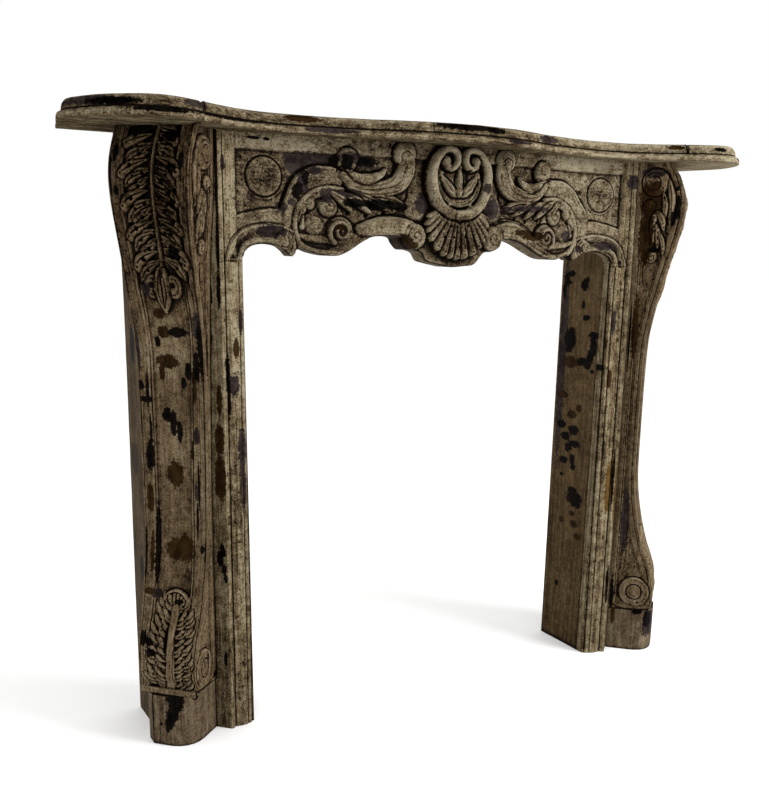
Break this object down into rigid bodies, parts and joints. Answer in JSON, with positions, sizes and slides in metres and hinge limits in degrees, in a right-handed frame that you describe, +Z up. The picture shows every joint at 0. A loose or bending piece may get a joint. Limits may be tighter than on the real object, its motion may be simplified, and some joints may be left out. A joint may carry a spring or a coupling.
{
  "type": "fireplace mantelpiece",
  "caption": "Carved wooden fireplace surround in worn distressed paint: bowed moulded shelf, shell-and-scroll frieze with scalloped edge, and canted S-shaped console legs on plinths.",
  "frame": {"origin": "on the floor, midway between the two ends of the shelf and midway between the front of the shelf and the wall side", "axes": "+X to the right along the front, +Y towards the wall, +Z up"},
  "size_m": [1.362, 0.2986, 1.08],
  "materials": {
    "shelf_paint": "worn cream paint over dark wood, matt",
    "frieze_paint": "worn cream paint over dark wood, dark in the hollows, matt",
    "upright_paint": "worn cream paint with dark chips, matt",
    "side_board_paint": "worn cream paint, matt",
    "console_paint": "worn cream paint rubbed through to dark wood on the carving, matt",
    "plinth_paint": "worn cream paint with black and purple-brown losses, matt"
  },
  "bodies": {
    "root": {"shelf_end_left": "shelf_paint", "shelf_front_left": "shelf_paint", "shelf_front_right": "shelf_paint", "shelf_end_right": "shelf_paint", "frieze": "frieze_paint", "stile_left": "upright_paint", "reveal_left": "upright_paint", "side_board_left": "side_board_paint", "console_left": "console_paint", "plinth_left": "plinth_paint", "stile_right": "upright_paint", "reveal_right": "upright_paint", "side_board_right": "side_board_paint", "console_right": "console_paint", "plinth_right": "plinth_paint"}
  },
  "joints": []
}
